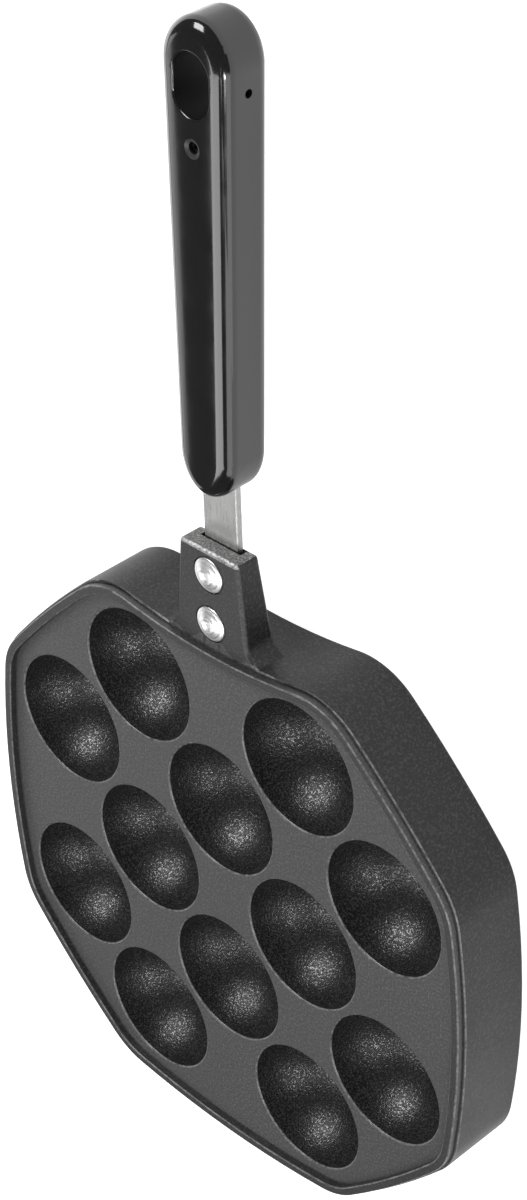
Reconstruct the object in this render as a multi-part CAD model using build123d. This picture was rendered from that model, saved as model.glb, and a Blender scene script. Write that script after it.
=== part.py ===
from build123d import *
import math
import os

# A twelve cup takoyaki pan: a cast aluminium cooking pan with a steel tang
# riveted into a cast boss, and a moulded heat resistant grip on the tang.
# The origin is on the surface that the pan stands on, under the middle of
# the cup pattern. X is across the pan, +Y points along the handle, +Z is up
# out of the cups. All sizes are millimetres.

# Cups: a square pattern of 45 mm pitch, turned 45 degrees to the handle.
CUP_PITCH = 45.0
CUP_SPHERE_RADIUS = 21.03
CUP_RIM_RADIUS = 21.0
CUP_WALL = 3.0
CUP_RIM_ROUND = 0.7
ROWS = {-2: (-1, 1), -1: (-2, 0, 2), 0: (-1, 1), 1: (-2, 0, 2), 2: (-1, 1)}

# Heights above the surface that the pan stands on.
PLATE_TOP = 24.0
PLATE_THICKNESS = 3.6
LIP_HEIGHT = 2.2

# Outline of the outer wall: an irregular octagon with bowed sides. The side
# next to the handle is hollow, all the others are bowed outward.
SIDE_MIDDLE = 94.2
SIDE_CORNER = (90.3, 46.8)
FRONT_CORNER = (46.8, 90.3)
DIAGONAL_BOW = 1.55
HANDLE_SIDE_MIDDLE = 88.5
HANDLE_SIDE_CORNER = (44.0, 93.6)
CORNER_ROUND = 24.0
WALL = 3.6
BASE_ROUND = 1.0
SHOULDER_ROUND = 0.45

# The raised lip round the plate stands back from the wall by a small step.
LIP_INSET = 0.9
LIP_WIDTH = 2.7
LIP_ROUND = 0.45

# Boss that takes the tang, cast on the handle side.
BOSS_END = 120.0
BOSS_END_HALF = 11.2
BOSS_ROOT_Y = 89.3
BOSS_ROOT_HALF = 14.0
BOSS_FOOT_HALF = 26.0
BOSS_TOP = 24.0
BOSS_END_THICKNESS = 8.3
BOSS_ROOT_THICKNESS = 11.1
BOSS_ROUND = 1.3
BOSS_FILLET = 6.0
BOSS_INNER_Y = 85.6

# Tang: a flat steel strap along the middle of the handle.
TANG_WIDTH = 13.0
TANG_THICKNESS = 2.0
TANG_TOP = 18.8
TANG_START = 91.4
TANG_END = 243.0
TANG_EDGE_ROUND = 0.35
SLOT_SIDE_GAP = 1.2
SLOT_FACE_GAP = 0.35

# Rivets: low domed heads with a small dimple above, plain domes below.
RIVET_PLACES = {"lower_rivet": 96.5, "upper_rivet": 112.5}
RIVET_SHANK_RADIUS = 2.5
RIVET_HOLE_RADIUS = 2.5
RIVET_RECESS_RADIUS = 5.75
RIVET_RECESS_DEPTH = 0.5
RIVET_HEAD_RADIUS = 5.2
RIVET_HEAD_HEIGHT = 2.0
RIVET_RIM_HEIGHT = 0.7
RIVET_DIMPLE_RADIUS = 1.9
RIVET_DIMPLE_DEPTH = 0.45
RIVET_BACK_RADIUS = 4.4
RIVET_BACK_HEIGHT = 1.3

# Grip: a moulding that gets wider toward its outer end and leans slightly
# down from the line of the tang. Both ends are half ellipses in plan.
GRIP_START = 137.0
GRIP_END = 271.3
GRIP_INNER_HALF = 9.9
GRIP_OUTER_HALF = 11.75
GRIP_TIP_LENGTH = 13.0
GRIP_START_TOP = 25.0
GRIP_END_TOP = 22.15
GRIP_START_BOTTOM = 9.0
GRIP_END_BOTTOM = 5.7
GRIP_EDGE_ROUND = 4.2
TANG_POCKET_GAP = 0.1
ELLIPSE_HANDLE = 0.5523

# Hanging hole near the outer end of the grip.
HANG_CENTRE_Y = 254.2
HANG_WIDTH = 12.4
HANG_LENGTH = 17.2
HANG_EDGE_ROUND = 0.6

# Screw that holds the grip on the tang, sunk under a round dish in the
# upper face.
SCREW_Y = 237.8
SCREW_SHANK_RADIUS = 1.1
SCREW_HEAD_RADIUS = 1.6
SCREW_HEAD_HEIGHT = 1.2
SCREW_HEAD_SINK = 1.5
SCREW_HOLE_RADIUS = 1.65
SCREW_TIP_BELOW_TANG = 3.5
SCREW_SOCKET_RADIUS = 0.8
SCREW_SOCKET_DEPTH = 0.7
DISH_RADIUS = 2.7
DISH_DEPTH = 0.75

# Small blind hole in the side of the grip, left by the moulding tool.
PIN_HOLE_Y = 252.9
PIN_HOLE_Z = 14.1
PIN_HOLE_RADIUS = 1.2
PIN_HOLE_DEPTH = 2.5

TANG_BOTTOM = TANG_TOP - TANG_THICKNESS
HALF_STEP = CUP_PITCH / math.sqrt(2)


def cup_centres():
    """Centres of the twelve cups, row by row from the front to the handle."""
    return [(x * HALF_STEP, y * HALF_STEP) for y, row in ROWS.items() for x in row]


def bowed(start, end, bow):
    """Arc from start to end whose middle lies bow to the left of the chord."""
    dx, dy = end[0] - start[0], end[1] - start[1]
    length = math.hypot(dx, dy)
    middle = ((start[0] + end[0]) / 2 - dy / length * bow,
              (start[1] + end[1]) / 2 + dx / length * bow)
    return ThreePointArc(start, middle, end)


def pan_outline():
    """Face of the outer wall's outline, counter-clockwise from the right side."""
    side_x, side_y = SIDE_CORNER
    front_x, front_y = FRONT_CORNER
    top_x, top_y = HANDLE_SIDE_CORNER
    side_bow = SIDE_MIDDLE - side_x
    edges = [
        bowed((side_x, -side_y), (side_x, side_y), -side_bow),
        bowed((side_x, side_y), (top_x, top_y), -DIAGONAL_BOW),
        bowed((top_x, top_y), (-top_x, top_y), top_y - HANDLE_SIDE_MIDDLE),
        bowed((-top_x, top_y), (-side_x, side_y), -DIAGONAL_BOW),
        bowed((-side_x, side_y), (-side_x, -side_y), -side_bow),
        bowed((-side_x, -side_y), (-front_x, -front_y), -DIAGONAL_BOW),
        bowed((-front_x, -front_y), (front_x, -front_y), -side_bow),
        bowed((front_x, -front_y), (side_x, -side_y), -DIAGONAL_BOW),
    ]
    face = Face(Wire(edges))
    return fillet(face.vertices(), CORNER_ROUND)


def inset(face, distance):
    """The outline drawn further in: every arc keeps its centre."""
    def moved(edge, share):
        point = edge @ share
        across = (edge % share).rotate(Axis.Z, 90)
        inward = across if across.dot(point) < 0 else -across
        return point + inward * distance
    edges = face.face().outer_wire().edges()
    return Face(Wire([ThreePointArc(moved(e, 0), moved(e, 0.5), moved(e, 1)) for e in edges]))


def slab(face, bottom, top):
    """Solid between two heights with the plan of the given face."""
    return Pos(0, 0, bottom) * extrude(face, amount=top - bottom, dir=(0, 0, 1))


def edges_at(solid, height):
    """Edges of a solid that lie wholly at one height."""
    def level(edge):
        box = edge.bounding_box()
        return abs(box.min.Z - height) < 1e-4 and abs(box.max.Z - height) < 1e-4
    return solid.edges().filter_by(level)


def outer_shell(outline):
    """Open skirt: wall and cooking plate, hollow from below."""
    block = slab(outline, 0, PLATE_TOP)
    block = fillet(edges_at(block, 0), BASE_ROUND)
    block = fillet(edges_at(block, PLATE_TOP), SHOULDER_ROUND)
    hollow = inset(outline, WALL)
    return block - slab(hollow, 0, PLATE_TOP - PLATE_THICKNESS)


def lip_ring(outline):
    """Raised rounded lip that keeps the batter on the plate."""
    root = PLATE_TOP - PLATE_THICKNESS / 2
    top = PLATE_TOP + LIP_HEIGHT
    ring = slab(inset(outline, LIP_INSET), root, top)
    ring = ring - slab(inset(outline, LIP_INSET + LIP_WIDTH), root, top)
    return fillet(edges_at(ring, PLATE_TOP + LIP_HEIGHT), LIP_ROUND)


def sphere_centre_height():
    """Height of a cup's sphere centre, so that it cuts the plate at the rim."""
    return PLATE_TOP + math.sqrt(CUP_SPHERE_RADIUS ** 2 - CUP_RIM_RADIUS ** 2)


def cup_domes():
    """Outside of the cups under the plate, as one group of cut spheres."""
    centre = sphere_centre_height()
    radius = CUP_SPHERE_RADIUS + CUP_WALL
    keep = Box(3 * radius, 3 * radius, 2 * radius)
    below = Pos(0, 0, PLATE_TOP - PLATE_THICKNESS / 2 - radius) * keep
    dome = (Pos(0, 0, centre) * Sphere(radius)) & below
    return [Pos(x, y, 0) * dome for x, y in cup_centres()]


def cup_hollows():
    """The twelve cavities, one sphere each."""
    centre = sphere_centre_height()
    return [Pos(x, y, centre) * Sphere(CUP_SPHERE_RADIUS) for x, y in cup_centres()]


def boss():
    """Tapered boss with flared root, before the slot and the rivet holes."""
    plan = Polyline(
        (BOSS_END_HALF, BOSS_END), (BOSS_ROOT_HALF, BOSS_ROOT_Y),
        (BOSS_FOOT_HALF, BOSS_ROOT_Y), (BOSS_FOOT_HALF, BOSS_INNER_Y),
        (-BOSS_FOOT_HALF, BOSS_INNER_Y), (-BOSS_FOOT_HALF, BOSS_ROOT_Y),
        (-BOSS_ROOT_HALF, BOSS_ROOT_Y), (-BOSS_END_HALF, BOSS_END), close=True)
    face = Face(Wire(plan.edges()))
    roots = [v for v in face.vertices()
             if abs(v.Y - BOSS_ROOT_Y) < 0.1 and abs(v.X) < BOSS_FOOT_HALF - 1]
    body = slab(fillet(roots, BOSS_FILLET), 0, BOSS_TOP)
    side = Polyline(
        (BOSS_INNER_Y, BOSS_TOP), (BOSS_END, BOSS_TOP),
        (BOSS_END, BOSS_TOP - BOSS_END_THICKNESS),
        (BOSS_INNER_Y, BOSS_TOP - BOSS_ROOT_THICKNESS), close=True)
    profile = Plane.YZ * Face(Wire(side.edges()))
    body = body & extrude(profile, amount=BOSS_FOOT_HALF + 1, both=True)
    rounded = [e for e in body.edges() if e.center().Y > BOSS_ROOT_Y + BOSS_FILLET / 2]
    return fillet(rounded, BOSS_ROUND)


def bar(width, start, end, bottom, top):
    """Straight bar across X = 0 between two places along the handle."""
    middle = Pos(0, (start + end) / 2, (bottom + top) / 2)
    return middle * Box(width, end - start, top - bottom)


def upright(radius, y, bottom, top):
    """Vertical cylinder on the middle line of the handle."""
    return Pos(0, y, (bottom + top) / 2) * Cylinder(radius, top - bottom)


def pan_body():
    """The casting: skirt, plate, lip, cups and boss in one piece."""
    outline = pan_outline()
    body = outer_shell(outline)
    for dome in cup_domes():
        body = body + dome
    body = body + boss() + lip_ring(outline)
    for hollow in cup_hollows():
        body = body - hollow
    rims = [e for e in edges_at(body, PLATE_TOP)
            if e.geom_type == GeomType.CIRCLE and abs(e.radius - CUP_RIM_RADIUS) < 0.05]
    body = fillet(rims, CUP_RIM_ROUND)
    slot = bar(TANG_WIDTH + 2 * SLOT_SIDE_GAP, TANG_START, BOSS_END + 1,
               TANG_BOTTOM - SLOT_FACE_GAP, TANG_TOP + SLOT_FACE_GAP)
    body = body - slot
    for y in RIVET_PLACES.values():
        body = body - upright(RIVET_HOLE_RADIUS, y, 0, PLATE_TOP + 1)
        body = body - upright(RIVET_RECESS_RADIUS, y, rivet_seat(), PLATE_TOP + 1)
    return body.solid()


def handle_tang():
    """Steel strap with its two rivet holes and the tapped screw hole."""
    strap = bar(TANG_WIDTH, TANG_START, TANG_END, TANG_BOTTOM, TANG_TOP)
    strap = fillet(strap.edges().filter_by(Axis.Y), TANG_EDGE_ROUND)
    for y in RIVET_PLACES.values():
        strap = strap - upright(RIVET_HOLE_RADIUS, y, 0, PLATE_TOP)
    return (strap - upright(SCREW_SHANK_RADIUS, SCREW_Y, 0, PLATE_TOP)).solid()


def rivet_seat():
    """Height of the shallow recess floor that a rivet's head bears on."""
    return BOSS_TOP - RIVET_RECESS_DEPTH


def boss_underside(y):
    """Height of the boss's sloping underside at a place along the handle."""
    share = (y - BOSS_INNER_Y) / (BOSS_END - BOSS_INNER_Y)
    thickness = BOSS_ROOT_THICKNESS + share * (BOSS_END_THICKNESS - BOSS_ROOT_THICKNESS)
    return BOSS_TOP - thickness


def domed_head(radius, rim, height):
    """Low domed head that stands on height zero: a ball cut by a cylinder."""
    rise = height - rim
    ball = (radius ** 2 + rise ** 2) / (2 * rise)
    return (Pos(0, 0, height - ball) * Sphere(ball)) & upright(radius, 0, 0, 2 * height)


def rivet(y):
    """Rivet with an upper head, a shank through the joint and a formed tail."""
    head = domed_head(RIVET_HEAD_RADIUS, RIVET_RIM_HEIGHT, RIVET_HEAD_HEIGHT)
    dimple_ball = (RIVET_DIMPLE_RADIUS ** 2 / RIVET_DIMPLE_DEPTH + RIVET_DIMPLE_DEPTH) / 2
    above = RIVET_HEAD_HEIGHT - RIVET_DIMPLE_DEPTH + dimple_ball
    head = head - Pos(0, 0, above) * Sphere(dimple_ball)
    tail = Rot(180, 0, 0) * domed_head(RIVET_BACK_RADIUS, RIVET_RIM_HEIGHT, RIVET_BACK_HEIGHT)
    slope = math.degrees(math.atan2(BOSS_ROOT_THICKNESS - BOSS_END_THICKNESS,
                                    BOSS_END - BOSS_INNER_Y))
    seat = boss_underside(y)
    tail = Pos(0, y, seat) * Rot(slope, 0, 0) * tail
    shank = upright(RIVET_SHANK_RADIUS, y, seat - RIVET_RIM_HEIGHT / 2,
                    rivet_seat() + RIVET_RIM_HEIGHT / 2)
    return (Pos(0, y, rivet_seat()) * head + shank + tail).solid()


def grip_top(y):
    """Height of the grip's upper face at a place along the handle."""
    share = (y - GRIP_START) / (GRIP_END - GRIP_START)
    return GRIP_START_TOP + share * (GRIP_END_TOP - GRIP_START_TOP)


def tip_curve(half, shoulder, tip, slant):
    """Quarter ellipse in plan from the shoulder of one side to the tip."""
    reach = ELLIPSE_HANDLE * (tip - shoulder)
    return Bezier((half, shoulder), (half + slant * reach, shoulder + reach),
                  (half * ELLIPSE_HANDLE, tip), (0, tip))


def grip_plan():
    """Plan of the grip: two tapering sides between two rounded tips."""
    first, last = GRIP_START + GRIP_TIP_LENGTH, GRIP_END - GRIP_TIP_LENGTH
    slant = (GRIP_OUTER_HALF - GRIP_INNER_HALF) / (last - first)
    half = [
        tip_curve(GRIP_INNER_HALF, first, GRIP_START, slant),
        Line((GRIP_INNER_HALF, first), (GRIP_OUTER_HALF, last)),
        tip_curve(GRIP_OUTER_HALF, last, GRIP_END, slant),
    ]
    return Face(Wire(half + [edge.mirror(Plane.YZ) for edge in half]))


def grip_blank():
    """Tapered and rounded moulding before its holes are cut."""
    blank = slab(grip_plan(), 0, GRIP_START_TOP)
    side = Polyline(
        (GRIP_START - 1, grip_top(GRIP_START - 1)), (GRIP_END + 1, grip_top(GRIP_END + 1)),
        (GRIP_END + 1, GRIP_END_BOTTOM), (GRIP_START - 1, GRIP_START_BOTTOM), close=True)
    profile = Plane.YZ * Face(Wire(side.edges()))
    blank = blank & extrude(profile, amount=GRIP_OUTER_HALF + 2, both=True)
    faces = blank.faces().sort_by(Axis.Z)
    return fillet(faces[0].edges() + faces[-1].edges(), GRIP_EDGE_ROUND)


def handle_grip():
    """Grip with the tang pocket, hanging hole, screw hole and pin hole."""
    grip = grip_blank()
    opening = SlotCenterToCenter(HANG_LENGTH - HANG_WIDTH, HANG_WIDTH, rotation=90)
    grip = grip - Pos(0, HANG_CENTRE_Y, 0) * extrude(opening, amount=2 * PLATE_TOP, both=True)
    mouth = [e for e in grip.edges() if edge_in_hanging_hole(e)]
    grip = fillet(mouth, HANG_EDGE_ROUND)
    pocket = bar(TANG_WIDTH + 2 * TANG_POCKET_GAP, GRIP_START - 1, TANG_END + TANG_POCKET_GAP,
                 TANG_BOTTOM - TANG_POCKET_GAP, TANG_TOP + TANG_POCKET_GAP)
    grip = grip - pocket
    grip = grip - dish() - upright(SCREW_HOLE_RADIUS, SCREW_Y, screw_seat(), PLATE_TOP + 1)
    grip = grip - upright(SCREW_SHANK_RADIUS, SCREW_Y, screw_tip(), PLATE_TOP)
    pin = Pos(GRIP_OUTER_HALF, PIN_HOLE_Y, PIN_HOLE_Z) * Rot(0, 90, 0)
    grip = grip - pin * Cylinder(PIN_HOLE_RADIUS, 2 * PIN_HOLE_DEPTH)
    return grip.solid()


def edge_in_hanging_hole(edge):
    """Whether an edge is part of either mouth of the hanging hole."""
    box = edge.bounding_box()
    half_length = HANG_LENGTH / 2 + 0.01
    inside_x = max(abs(box.min.X), abs(box.max.X)) < HANG_WIDTH / 2 + 0.01
    inside_y = max(abs(box.min.Y - HANG_CENTRE_Y), abs(box.max.Y - HANG_CENTRE_Y)) < half_length
    return inside_x and inside_y and box.max.Z - box.min.Z < HANG_EDGE_ROUND


def dish():
    """Ball that cuts the round dish above the screw."""
    ball = (DISH_RADIUS ** 2 / DISH_DEPTH + DISH_DEPTH) / 2
    return Pos(0, SCREW_Y, grip_top(SCREW_Y) - DISH_DEPTH + ball) * Sphere(ball)


def screw_seat():
    """Height of the step that the screw's head bears on."""
    return grip_top(SCREW_Y) - SCREW_HEAD_SINK - SCREW_HEAD_HEIGHT


def screw_tip():
    """Height of the screw's point under the tang."""
    return TANG_BOTTOM - SCREW_TIP_BELOW_TANG


def grip_screw():
    """Round headed screw with a plain driving socket."""
    seat = screw_seat()
    head = upright(SCREW_HEAD_RADIUS, SCREW_Y, seat, seat + SCREW_HEAD_HEIGHT)
    head = fillet(edges_at(head, seat + SCREW_HEAD_HEIGHT), SCREW_HEAD_HEIGHT / 3)
    shank = upright(SCREW_SHANK_RADIUS, SCREW_Y, screw_tip(), seat + SCREW_HEAD_HEIGHT / 2)
    socket_floor = seat + SCREW_HEAD_HEIGHT - SCREW_SOCKET_DEPTH
    socket = upright(SCREW_SOCKET_RADIUS, SCREW_Y, socket_floor, PLATE_TOP)
    return (head + shank - socket).solid()


def pieces():
    """Every separate piece of the pan by the name of its node."""
    made = {"pan_body": pan_body(), "handle_tang": handle_tang()}
    for name, y in RIVET_PLACES.items():
        made[name] = rivet(y)
    made["handle_grip"] = handle_grip()
    made["grip_screw"] = grip_screw()
    return made


os.makedirs("parts", exist_ok=True)
for node, shape in pieces().items():
    export_step(shape, f"parts/{node}.step")
    size = shape.bounding_box().size
    print(f"{node}: {shape.volume:.0f} mm3, {size.X:.1f} x {size.Y:.1f} x {size.Z:.1f} mm")
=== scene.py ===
import math

import bmesh
import bpy
import numpy as np
from mathutils import Matrix, Vector


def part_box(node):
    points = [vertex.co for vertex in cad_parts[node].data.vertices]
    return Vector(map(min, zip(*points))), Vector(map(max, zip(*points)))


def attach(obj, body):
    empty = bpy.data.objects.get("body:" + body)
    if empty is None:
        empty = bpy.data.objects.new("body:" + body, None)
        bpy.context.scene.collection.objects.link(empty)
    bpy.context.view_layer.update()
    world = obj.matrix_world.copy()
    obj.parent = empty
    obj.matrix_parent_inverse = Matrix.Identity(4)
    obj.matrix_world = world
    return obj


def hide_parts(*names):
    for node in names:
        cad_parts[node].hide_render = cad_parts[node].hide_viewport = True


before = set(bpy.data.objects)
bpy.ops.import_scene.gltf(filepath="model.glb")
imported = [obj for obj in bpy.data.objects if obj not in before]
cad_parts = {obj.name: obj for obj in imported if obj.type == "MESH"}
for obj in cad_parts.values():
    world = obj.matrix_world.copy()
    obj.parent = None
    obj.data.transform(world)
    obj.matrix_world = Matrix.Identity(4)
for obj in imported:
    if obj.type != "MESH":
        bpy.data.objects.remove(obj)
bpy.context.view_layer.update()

# Lengths are metres. MM turns a length in millimetres into metres.
MM = 0.001

# Camera fitted to the rims of the twelve cups.
CAMERA_PLACE = (0.47298, 0.54244, 0.45869)
CAMERA_RIGHT = (0.70680551, -0.02847688, -0.70683452)
CAMERA_DOWN = (0.38235978, -0.8252779, 0.41559281)
CAMERA_LENS = 86.04
CAMERA_SENSOR = 36.0

# Each light: name, direction from its target, distance, width, height, watts, target.
PAN_MIDDLE = (0.0, 0.06, 0.02)
HANDLE_MIDDLE = (0.0, 0.2, 0.02)
LIGHTS = (
    ("back_key", (-0.27, 0.82, 0.50), 1.7, 0.85, 0.80, 30.0, PAN_MIDDLE),
    ("right_key", (0.755, -0.20, 0.60), 1.7, 0.26, 0.26, 9.0, PAN_MIDDLE),
    ("front_bank", (0.0, -0.469, 0.883), 2.4, 2.4, 0.8, 32.0, HANDLE_MIDDLE),
    ("low_strip", (0.82, -0.469, 0.23), 1.7, 1.1, 0.84, 8.0, HANDLE_MIDDLE),
    ("left_panel", (-0.84, -0.47, 0.28), 1.8, 1.2, 0.7, 4.0, HANDLE_MIDDLE),
)
WORLD_LIGHT = 0.12
FLOOR_GLOW = 0.95
FLOOR_HALF = 6.0
FLOOR_DROP = 0.2 * MM

# Places on the casting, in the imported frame.
PLATE_TOP = 24.0 * MM
LIP_EDGE = PLATE_TOP + 1.7 * MM
LIP_FLAT = PLATE_TOP + 2.0 * MM
ROUND_FOOT = PLATE_TOP - 0.45 * MM
CUP_RADIUS = 21.0 * MM
CUP_PITCH = 45.0 * MM
CUP_MOUTH = PLATE_TOP - 0.3 * MM
BOSS_START = 90.0 * MM
BOSS_END = 120.0 * MM
BOSS_ROUND_FOOT = PLATE_TOP - 1.5 * MM
BOSS_EDGE_FOOT = PLATE_TOP - 0.9 * MM
BOSS_EDGE_WIDTH = 1.0 * MM
END_FACE_DEPTH = 0.2 * MM

# Places on the grip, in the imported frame.
HANG_PLACE = 254.2 * MM
HANG_HALF_WIDTH = 6.25 * MM
HANG_HALF_LENGTH = 8.65 * MM
HANG_LOW = 6.9 * MM
HANG_HIGH = 21.6 * MM
SCREW_PLACE = 237.8 * MM
DISH_RADIUS = 2.68 * MM
DISH_LOW = 20.0 * MM
BORE_RADIUS = 1.7 * MM

# Rivets, whose heads sit in the recesses of the boss.
RIVET_SEAT = 23.5 * MM
RIVET_TAIL_HEIGHT = 1.5 * MM
RIVET_STEPS = 96

# Tilts are the upright parts of unit normals. A steep face is a side or an underside, a
# round lies between two faces, and a strap's side is told by the sideways part.
STEEP_TILT = 0.5
ROUND_TILTS = (0.15, 0.97)
END_TILT = 0.7
STRAP_SIDE_TILT = 0.3
CREASE_DEGREES = 28.0
MERGE_DISTANCE = 0.003 * MM


def keep(obj, node):
    """Puts a finished piece on the body and hides the node it stands for."""
    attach(obj, "root")
    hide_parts(node)


def add_object(name, mesh):
    """New object at the origin that shows a mesh."""
    obj = bpy.data.objects.new(name, mesh)
    bpy.context.scene.collection.objects.link(obj)
    return obj


def ring_mesh(name, points):
    """Quad mesh over a grid of points of shape (round, along, 3), closed all round."""
    rounds, steps = points.shape[:2]
    turn, step = np.meshgrid(np.arange(rounds), np.arange(steps - 1), indexing="ij")
    here = turn * steps + step
    beside = (turn + 1) % rounds * steps + step
    quads = np.stack([here, beside, beside + 1, here + 1], -1)
    mesh = bpy.data.meshes.new(name)
    mesh.from_pydata(points.reshape(-1, 3).tolist(), [], quads.reshape(-1, 4).tolist())
    mesh.update()
    return mesh


def close_up(mesh):
    """Merges coincident points and turns every face outward."""
    same_place = 1e-7
    bm = bmesh.new()
    bm.from_mesh(mesh)
    bmesh.ops.remove_doubles(bm, verts=bm.verts, dist=same_place)
    bmesh.ops.dissolve_degenerate(bm, edges=bm.edges, dist=same_place)
    bmesh.ops.recalc_face_normals(bm, faces=bm.faces)
    for face in bm.faces:
        face.smooth = True
    bm.to_mesh(mesh)
    bm.free()
    return mesh


def lathe(name, profile, place):
    """Surface of revolution about a vertical axis: a profile of (radius, height) is
    carried round the axis, so each point is (r cos a, r sin a, h) from the place."""
    angle = np.linspace(0, 2 * np.pi, RIVET_STEPS, endpoint=False)[:, None]
    radius, height = profile[None, :, 0], profile[None, :, 1]
    points = np.stack([radius * np.cos(angle), radius * np.sin(angle),
                       np.broadcast_to(height, (RIVET_STEPS, len(profile)))], -1)
    return close_up(ring_mesh(name, points + np.asarray(place)))


def smooth_copy(node, name):
    """Merged copy of a CAD node: smooth over its rounds, creased where two faces meet
    at more than the crease angle, with normals weighted toward the flat faces."""
    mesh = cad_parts[node].data.copy()
    mesh.name = name
    if "custom_normal" in mesh.attributes:
        mesh.attributes.remove(mesh.attributes["custom_normal"])
    bm = bmesh.new()
    bm.from_mesh(mesh)
    bmesh.ops.remove_doubles(bm, verts=bm.verts, dist=MERGE_DISTANCE)
    crease = math.radians(CREASE_DEGREES)
    for edge in bm.edges:
        edge.smooth = len(edge.link_faces) == 2 and edge.calc_face_angle(0.0) < crease
    for face in bm.faces:
        face.smooth = True
    bm.to_mesh(mesh)
    bm.free()
    mesh.materials.clear()
    obj = add_object(name, mesh)
    weighted = obj.modifiers.new("weighted", "WEIGHTED_NORMAL")
    weighted.mode = "FACE_AREA_WITH_ANGLE"
    weighted.keep_sharp = True
    weighted.weight = 50
    return obj


class Shader:
    """Short names for building one procedural material."""

    def __init__(self, name):
        self.material = bpy.data.materials.new(name)
        self.material.use_nodes = True
        self.tree = self.material.node_tree
        self.surface = self.tree.nodes["Principled BSDF"]
        self.place = self.tree.nodes.new("ShaderNodeTexCoord").outputs["Object"]

    def set(self, socket, value):
        """Sets one of the surface's own sockets to a value that is the same all over."""
        self.surface.inputs[socket].default_value = value

    def node(self, kind, **settings):
        """New node of a kind, with its settings."""
        made = self.tree.nodes.new(kind)
        for key, value in settings.items():
            setattr(made, key, value)
        return made

    def link(self, source, target):
        """Joins an output to an input."""
        self.tree.links.new(source, target)

    def stretched(self, scale):
        """Object coordinates with their own scale along each axis."""
        mapping = self.node("ShaderNodeMapping")
        mapping.inputs["Scale"].default_value = scale
        self.link(self.place, mapping.inputs["Vector"])
        return mapping.outputs["Vector"]

    def noise(self, size, detail=2.0, rough=0.5, vector=None):
        """Noise whose blotches are about the given size across, in metres."""
        made = self.node("ShaderNodeTexNoise")
        made.inputs["Scale"].default_value = 1.0 / size
        made.inputs["Detail"].default_value = detail
        made.inputs["Roughness"].default_value = rough
        self.link(vector or self.place, made.inputs["Vector"])
        return made.outputs["Fac"]

    def spread(self, value, low, high, from_low=0.3, from_high=0.7):
        """Maps a value from one range to another."""
        made = self.node("ShaderNodeMapRange")
        made.inputs["From Min"].default_value = from_low
        made.inputs["From Max"].default_value = from_high
        made.inputs["To Min"].default_value = low
        made.inputs["To Max"].default_value = high
        self.link(value, made.inputs["Value"])
        return made.outputs["Result"]

    def blend(self, factor, first, second):
        """Colour between two greys or colours."""
        made = self.node("ShaderNodeMix", data_type="RGBA")
        self.link(factor, made.inputs["Factor"])
        made.inputs["A"].default_value = (*first, 1.0)
        made.inputs["B"].default_value = (*second, 1.0)
        return made.outputs["Result"]

    def speckle(self, pattern, first, second):
        """Colour that goes from one to the other over the middle of a noise."""
        return self.blend(self.spread(pattern, 0.0, 1.0), first, second)

    def bump(self, height, distance, normal=None):
        """Bump from a height between nought and one that stands for a real distance."""
        made = self.node("ShaderNodeBump")
        made.inputs["Distance"].default_value = distance
        made.inputs["Strength"].default_value = 1.0
        self.link(height, made.inputs["Height"])
        if normal is not None:
            self.link(normal, made.inputs["Normal"])
        return made.outputs["Normal"]

    def crown(self, half_width, rise, normal=None):
        """Bump that bows a flat face: the height falls from the middle line with the
        square of x, and reaches nought at the half width."""
        axes = self.node("ShaderNodeSeparateXYZ")
        self.link(self.place, axes.inputs["Vector"])
        across = self.node("ShaderNodeMath", operation="ABSOLUTE")
        self.link(axes.outputs["X"], across.inputs[0])
        square = self.node("ShaderNodeMath", operation="POWER")
        square.inputs[1].default_value = 2.0
        self.link(across.outputs[0], square.inputs[0])
        height = self.spread(square.outputs[0], 1.0, 0.0, 0.0, half_width ** 2)
        return self.bump(height, rise, normal)

    def finish(self, normal, colour, roughness):
        """Links the patterns to the surface and gives the finished material."""
        self.link(normal, self.surface.inputs["Normal"])
        self.link(colour, self.surface.inputs["Base Color"])
        self.link(roughness, self.surface.inputs["Roughness"])
        return self.material


def coating(name, base, fleck, roughness, grain_height=0.05 * MM, specular=0.5):
    """Dark grey non-stick coat on a cast skin: fine grain with paler flecks over a
    softer roll of the casting."""
    s = Shader(name)
    s.set("Specular IOR Level", specular)
    grain = s.noise(0.75 * MM, rough=0.65)
    cloud = s.noise(24 * MM, detail=3.0)
    normal = s.bump(s.noise(3.0 * MM), 0.03 * MM)
    normal = s.bump(grain, grain_height, normal)
    colour = s.blend(s.spread(grain, 0.0, 1.0, 0.48, 0.66), base, fleck)
    return s.finish(normal, colour, s.spread(cloud, roughness - 0.03, roughness + 0.05))


def plate_coating():
    """Satin coat of the plate."""
    return coating("satin_coating", (0.036, 0.036, 0.037), (0.078, 0.078, 0.080), 0.46)


def painted_shade_wall_coating():
    """Coat of the outer walls and the underside, painted darker than the plate's as shade on the
    steep faces.
    """
    return coating("painted_shade_wall_coating", (0.007, 0.007, 0.0072), (0.027, 0.027, 0.0275), 0.42,
                   specular=0.25)


def painted_shade_boss_coating():
    """Coat of the boss's upper face and of the lip's top and sides, painted darker than
    the plate's as shade. Its grey lies between the plate's and the wall's."""
    return coating("painted_shade_boss_coating", (0.014, 0.014, 0.0145), (0.040, 0.040, 0.041), 0.46)


def paler_end_coating():
    """Paler coat with coarser grain on the end face of the boss."""
    return coating("paler_end_coating", (0.055, 0.055, 0.054), (0.20, 0.20, 0.197), 0.55, 0.09 * MM)


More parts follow.
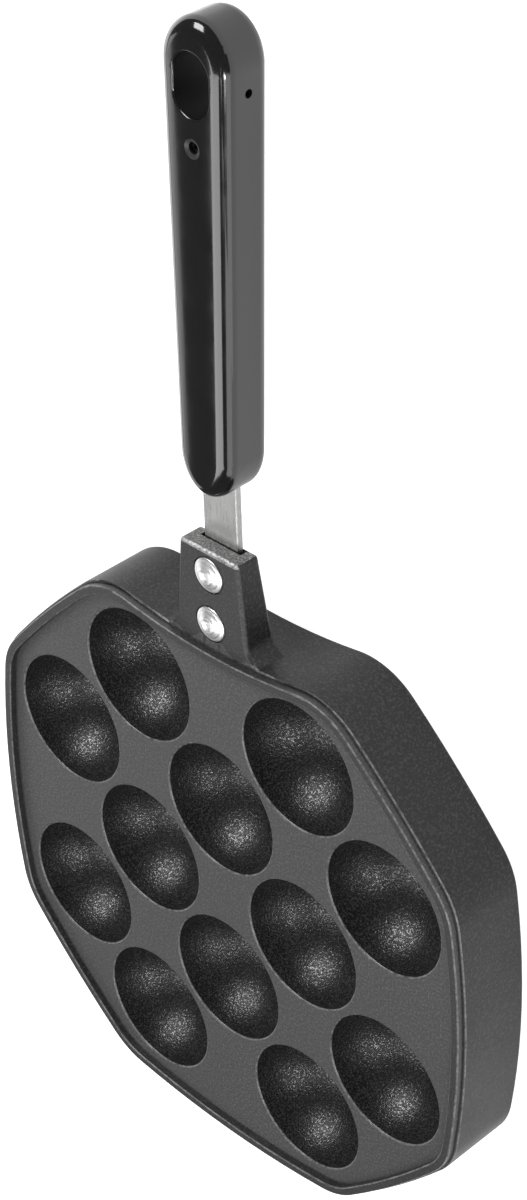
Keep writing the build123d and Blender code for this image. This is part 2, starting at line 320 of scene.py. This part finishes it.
def painted_shade_cup_coating():
    """Darker coat inside the cups, painted almost black as shade in the hollows, with
    flecks of bare grain that glint only where a light is mirrored."""
    s = Shader("painted_shade_cup_coating")
    s.set("Specular IOR Level", 0.3)
    grain = s.noise(0.58 * MM, rough=0.65)
    normal = s.bump(s.noise(3.0 * MM), 0.03 * MM)
    normal = s.bump(grain, 0.15 * MM, normal)
    flecks = s.spread(grain, 0.0, 1.0, 0.50, 0.64)
    # Painted shade: the base is near black, far darker than the plate's coat; the flecks are the
    # grain's own grey.
    colour = s.blend(flecks, (0.005, 0.005, 0.0052), (0.10, 0.10, 0.102))
    s.link(s.spread(grain, 0.0, 0.7, 0.50, 0.60), s.surface.inputs["Metallic"])
    return s.finish(normal, colour, s.spread(grain, 0.42, 0.24, 0.48, 0.60))


def worn_and_highlit_edge():
    """Upper edge at the boss's end: wear down to bare metal, with a painted highlight in lighter
    grey along the edge.
    """
    s = Shader("worn_and_highlit_edge")
    broken = s.noise(1.3 * MM, detail=3.0, rough=0.7)
    bare = s.spread(broken, 0.0, 1.0, 0.38, 0.60)
    # Painted highlight on top of the wear: the bare patches are a much lighter grey than the
    # coat.
    colour = s.blend(bare, (0.12, 0.12, 0.12), (0.44, 0.44, 0.44))
    s.link(s.spread(bare, 0.0, 0.8, 0.0, 1.0), s.surface.inputs["Metallic"])
    return s.finish(s.bump(broken, 0.05 * MM), colour, s.spread(broken, 0.40, 0.52))


def painted_highlight_edge():
    """Rounded edges of the lip, the shoulder outside it and the cup rims, with a painted
    highlight in broken patches of lighter grey."""
    s = Shader("painted_highlight_edge")
    broken = s.noise(1.6 * MM, detail=3.0, rough=0.7)
    highlight_patches = s.spread(broken, 0.0, 1.0, 0.38, 0.62)
    # Painted highlight: lighter grey patches along the rounds.
    colour = s.blend(highlight_patches, (0.05, 0.05, 0.05), (0.15, 0.15, 0.15))
    return s.finish(s.bump(broken, 0.03 * MM), colour, s.spread(broken, 0.32, 0.44))


def glossy_moulding():
    """Black phenolic moulding: deep gloss with the slow waves of a moulded face. The
    bump also crowns the flat upper face a little."""
    s = Shader("black_moulding")
    s.set("IOR", 1.55)
    waves = s.noise(22 * MM, detail=1.0, vector=s.stretched((1.0, 0.35, 1.0)))
    haze = s.noise(0.4 * MM)
    normal = s.crown(10 * MM, 1.0 * MM)
    normal = s.bump(waves, 0.15 * MM, normal)
    normal = s.bump(haze, 0.0012 * MM, normal)
    colour = s.speckle(haze, (0.0045, 0.0045, 0.005), (0.009, 0.009, 0.0095))
    return s.finish(normal, colour, s.spread(s.noise(9 * MM, detail=3.0), 0.09, 0.15))


def matt_moulding():
    """Duller ring of the screw's dish in the same black moulding."""
    s = Shader("matt_moulding")
    grain = s.noise(0.5 * MM)
    colour = s.speckle(grain, (0.012, 0.012, 0.012), (0.03, 0.03, 0.03))
    return s.finish(s.bump(grain, 0.004 * MM), colour, s.spread(grain, 0.38, 0.46))


def dull_moulding():
    """Unpolished walls of the hanging hole and the screw's bore in the same moulding."""
    s = Shader("dull_moulding")
    s.set("Specular IOR Level", 0.15)
    grain = s.noise(0.5 * MM)
    colour = s.speckle(grain, (0.003, 0.003, 0.003), (0.007, 0.007, 0.007))
    return s.finish(s.bump(grain, 0.01 * MM), colour, s.spread(grain, 0.5, 0.6))


def brushed_steel():
    """Rolled steel strap: fine scratches along its length on a grey metal."""
    s = Shader("brushed_steel")
    s.set("Metallic", 1.0)
    streaks = s.noise(0.25 * MM, detail=3.0, vector=s.stretched((1.0, 0.03, 1.0)))
    cloud = s.noise(7 * MM, detail=3.0)
    colour = s.speckle(cloud, (0.74, 0.74, 0.735), (0.84, 0.84, 0.835))
    return s.finish(s.bump(streaks, 0.0002 * MM), colour, s.spread(streaks, 0.26, 0.32))


def sheared_edge():
    """Duller narrow sides of the strap and their rounded edges, where it was sheared."""
    s = Shader("sheared_edge")
    s.set("Metallic", 1.0)
    marks = s.noise(0.5 * MM, detail=3.0, vector=s.stretched((1.0, 0.3, 1.0)))
    colour = s.speckle(marks, (0.24, 0.24, 0.238), (0.34, 0.34, 0.337))
    return s.finish(s.bump(marks, 0.01 * MM), colour, s.spread(marks, 0.34, 0.46))


def polished_aluminium():
    """Bright rivet metal with faint marks left by the setting tool."""
    s = Shader("polished_aluminium")
    s.set("Metallic", 1.0)
    marks = s.noise(1.6 * MM)
    colour = s.speckle(marks, (0.90, 0.90, 0.90), (0.94, 0.94, 0.94))
    return s.finish(s.bump(marks, 0.0008 * MM), colour, s.spread(s.noise(2.0 * MM), 0.37, 0.40))


def blackened_steel():
    """Dark oiled steel of the sunk screw."""
    s = Shader("blackened_steel")
    s.set("Metallic", 1.0)
    grain = s.noise(0.3 * MM)
    colour = s.speckle(grain, (0.03, 0.03, 0.03), (0.07, 0.07, 0.07))
    return s.finish(s.bump(grain, 0.006 * MM), colour, s.spread(grain, 0.28, 0.42))


def pale_floor():
    """Plain matt white light table, which gives off a part of its own light, with a
    barely visible tone."""
    s = Shader("pale_floor")
    colour = s.speckle(s.noise(180 * MM), (0.49, 0.49, 0.49), (0.51, 0.51, 0.51))
    s.link(colour, s.surface.inputs["Base Color"])
    s.set("Roughness", 0.9)
    s.set("Specular IOR Level", 0.1)
    s.set("Emission Color", (1.0, 1.0, 1.0, 1.0))
    s.set("Emission Strength", FLOOR_GLOW)
    return s.material


def set_camera():
    """Camera at the photograph's viewing angle."""
    right, down = Vector(CAMERA_RIGHT), Vector(CAMERA_DOWN)
    back = -right.cross(down)
    turn = Matrix((right, -down, back)).transposed().to_4x4()
    data = bpy.data.cameras.new("camera")
    data.sensor_fit = "AUTO"
    data.sensor_width = CAMERA_SENSOR
    data.lens = CAMERA_LENS
    data.clip_start = 0.01
    data.clip_end = 20.0
    camera = add_object("camera", data)
    camera.matrix_world = Matrix.Translation(CAMERA_PLACE) @ turn
    bpy.context.scene.camera = camera


def area_light(name, toward, distance, width, height, power, target):
    """Soft rectangular light that stands in a direction from its target and faces it."""
    data = bpy.data.lights.new(name, "AREA")
    data.shape = "RECTANGLE"
    data.size = width
    data.size_y = height
    data.energy = power
    lamp = add_object(name, data)
    direction = Vector(toward).normalized()
    lamp.location = Vector(target) + direction * distance
    lamp.rotation_euler = direction.to_track_quat("Z", "Y").to_euler()


def set_lights():
    """Studio light: a key behind the handle, a weak one on the right, a wide bank in
    front and above, a low strip at the right front, a soft left panel and a dim world."""
    for light in LIGHTS:
        area_light(*light)
    world = bpy.data.worlds.new("studio")
    bpy.context.scene.world = world
    world.use_nodes = True
    background = world.node_tree.nodes["Background"]
    background.inputs["Color"].default_value = (1.0, 1.0, 1.0, 1.0)
    background.inputs["Strength"].default_value = WORLD_LIGHT


def set_floor():
    """Large pale floor just under the pan."""
    corners = [(-1, -1), (1, -1), (1, 1), (-1, 1)]
    mesh = bpy.data.meshes.new("floor")
    mesh.from_pydata([(x * FLOOR_HALF, y * FLOOR_HALF, 0) for x, y in corners],
                     [], [(0, 1, 2, 3)])
    mesh.materials.append(pale_floor())
    floor = add_object("floor", mesh)
    floor.location.z = -FLOOR_DROP


def bell(radius, middle, width, height):
    """Bell curve of the radius: a height times e to minus the square of the distance
    from the middle over the width."""
    return height * np.exp(-((radius - middle) / width) ** 2)


def rivet_profile(head_foot, tail_seat):
    """Half section of a set rivet from the middle of its head to the middle of its
    tail. The head is a parabolic dome above a short rim, less a round dimple that falls
    off with the fourth power of the radius, with a ring round the dimple and a groove
    round the ring. The tail is a shallower parabola that points down."""
    head_radius = 5.2 * MM
    rim = 0.7 * MM
    rise = 1.3 * MM
    r = np.linspace(0, 1, 64) * head_radius
    dome = rim + rise * (1 - (r / head_radius) ** 2)
    dimple = 0.42 * MM * np.exp(-(r / (1.55 * MM)) ** 4)
    ring = bell(r, 2.2 * MM, 0.35 * MM, 0.15 * MM)
    groove = bell(r, 4.25 * MM, 0.30 * MM, 0.09 * MM)
    head = np.stack([r, head_foot + dome - dimple + ring - groove], -1)
    side_swell = 0.06 * MM * np.sin(np.linspace(0, np.pi, 7))
    side = np.stack([head_radius + side_swell, head_foot + np.linspace(rim, 0, 7)], -1)
    shank = 2.5 * MM
    tail_radius = 4.4 * MM
    tail_rim = 0.3 * MM
    tail_rise = 1.0 * MM
    q = np.linspace(1, 0, 16) * tail_radius
    tail_height = tail_seat - tail_rim - tail_rise * (1 - (q / tail_radius) ** 2)
    steps = [(shank, head_foot), (shank, tail_seat), (tail_radius, tail_seat)]
    return np.vstack([head, side[1:], steps, np.stack([q, tail_height], -1)])


def make_rivets():
    """Both rivets, each on the middle of its node."""
    metal = polished_aluminium()
    for node in ("upper_rivet", "lower_rivet"):
        low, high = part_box(node)
        middle = ((low.x + high.x) / 2, (low.y + high.y) / 2, 0.0)
        profile = rivet_profile(RIVET_SEAT, low.z + RIVET_TAIL_HEIGHT)
        mesh = lathe(node + "_set", profile, middle)
        mesh.materials.append(metal)
        keep(add_object(node + "_set", mesh), node)


def cup_places():
    """Centres of the twelve cups: every second place of a grid turned by 45 degrees."""
    step = CUP_PITCH / math.sqrt(2)
    rows = {-2: (-1, 1), -1: (-2, 0, 2), 0: (-1, 1), 1: (-2, 0, 2), 2: (-1, 1)}
    return np.array([(x * step, y * step) for y, row in rows.items() for x in row])


def face_vectors(mesh, key):
    """Middles or normals of all faces as an array of shape (faces, 3)."""
    values = np.empty(len(mesh.polygons) * 3)
    mesh.polygons.foreach_get(key, values)
    return values.reshape(-1, 3)


def give_finishes(mesh, finish, materials):
    """Adds the materials to a mesh and gives each face the one that its number names."""
    for material in materials:
        mesh.materials.append(material)
    mesh.polygons.foreach_set("material_index", finish.astype(np.int32))


def coat_casting(mesh):
    """Gives each face of the casting its coat by where it lies and how it tilts: walls,
    then the lip's sides, the cups by their distance from the nearest cup's centre line,
    the rounds, the top of the lip and boss, and the boss's end and its upper edge."""
    plate, wall, cup, paler_end, worn_and_highlit, highlit_round, boss = range(7)
    middles = face_vectors(mesh, "center")
    x, y, z = middles.T
    tilt = face_vectors(mesh, "normal")[:, 2]
    gaps = np.linalg.norm(middles[:, None, :2] - cup_places()[None], axis=-1).min(1)
    steep = (tilt < STEEP_TILT) & (z < LIP_EDGE)
    least, most = ROUND_TILTS
    turned = (tilt > least) & (tilt < most)
    coats = np.full(len(z), plate)
    # Walls and underside: painted shade, a darker copy of the plate's coat.
    coats[steep] = wall
    # Lip's sides above the plate: painted shade, a darker copy of the plate's coat.
    coats[steep & (z > PLATE_TOP)] = boss
    # Cups: painted shade in the hollows.
    coats[(gaps < CUP_RADIUS - 0.05 * MM) & (z < CUP_MOUTH) & (tilt > 0)] = cup
    # Rounds of the lip, the shoulder and the cup rims: painted highlight.
    coats[turned & (z > LIP_EDGE)] = highlit_round
    coats[turned & (z > ROUND_FOOT) & (z < PLATE_TOP)] = highlit_round
    # Tops of the lip and of the boss, with the boss's rounds: painted shade as well.
    coats[(tilt > most) & (z > LIP_FLAT)] = boss
    on_boss = (z > BOSS_ROUND_FOOT) & (z < PLATE_TOP + 0.1 * MM) & (y > BOSS_START)
    coats[on_boss & (tilt > least)] = boss
    coats[(y > BOSS_END - END_FACE_DEPTH) & (tilt < END_TILT)] = paler_end
    # Upper edge of the boss's end: wear with a painted highlight.
    coats[(y > BOSS_END - BOSS_EDGE_WIDTH) & (z > BOSS_EDGE_FOOT)] = worn_and_highlit
    give_finishes(mesh, coats, (plate_coating(), painted_shade_wall_coating(), painted_shade_cup_coating(),
                                paler_end_coating(), worn_and_highlit_edge(), painted_highlight_edge(), painted_shade_boss_coating()))


def coat_grip(mesh):
    """Gives the wall of the hanging hole and the screw's bore a dull finish, and the
    dish round the screw a matt one, each by its distance from the hole's middle."""
    glossy, dull, matt = range(3)
    x, y, z = face_vectors(mesh, "center").T
    reach = np.hypot(x, y - SCREW_PLACE)
    hole = (np.abs(x) < HANG_HALF_WIDTH) & (np.abs(y - HANG_PLACE) < HANG_HALF_LENGTH)
    finish = np.full(len(z), glossy)
    finish[hole & (z > HANG_LOW) & (z < HANG_HIGH)] = dull
    finish[(reach < DISH_RADIUS) & (z > DISH_LOW)] = matt
    finish[reach < BORE_RADIUS] = dull
    give_finishes(mesh, finish, (glossy_moulding(), dull_moulding(), matt_moulding()))


def coat_strap(mesh):
    """Gives the narrow sides of the strap their sheared finish."""
    sides = np.abs(face_vectors(mesh, "normal")[:, 0]) > STRAP_SIDE_TILT
    give_finishes(mesh, sides, (brushed_steel(), sheared_edge()))


def coat_screw(mesh):
    """Gives the screw its one dark finish."""
    mesh.materials.append(blackened_steel())


def make_solid_pieces():
    """Merged copies of the four solid pieces, each with its own finish."""
    for node, slot_name, coat in (("pan_body", "pan", coat_casting),
                                  ("handle_grip", "grip", coat_grip),
                                  ("handle_tang", "tang", coat_strap),
                                  ("grip_screw", "screw", coat_screw)):
        piece = smooth_copy(node, node + "_finished")
        coat(piece.data)
        keep(piece, node)


def main():
    """Builds the whole scene."""
    set_camera()
    set_lights()
    set_floor()
    make_solid_pieces()
    make_rivets()
    bpy.context.scene.view_settings.view_transform = "Standard"


main()
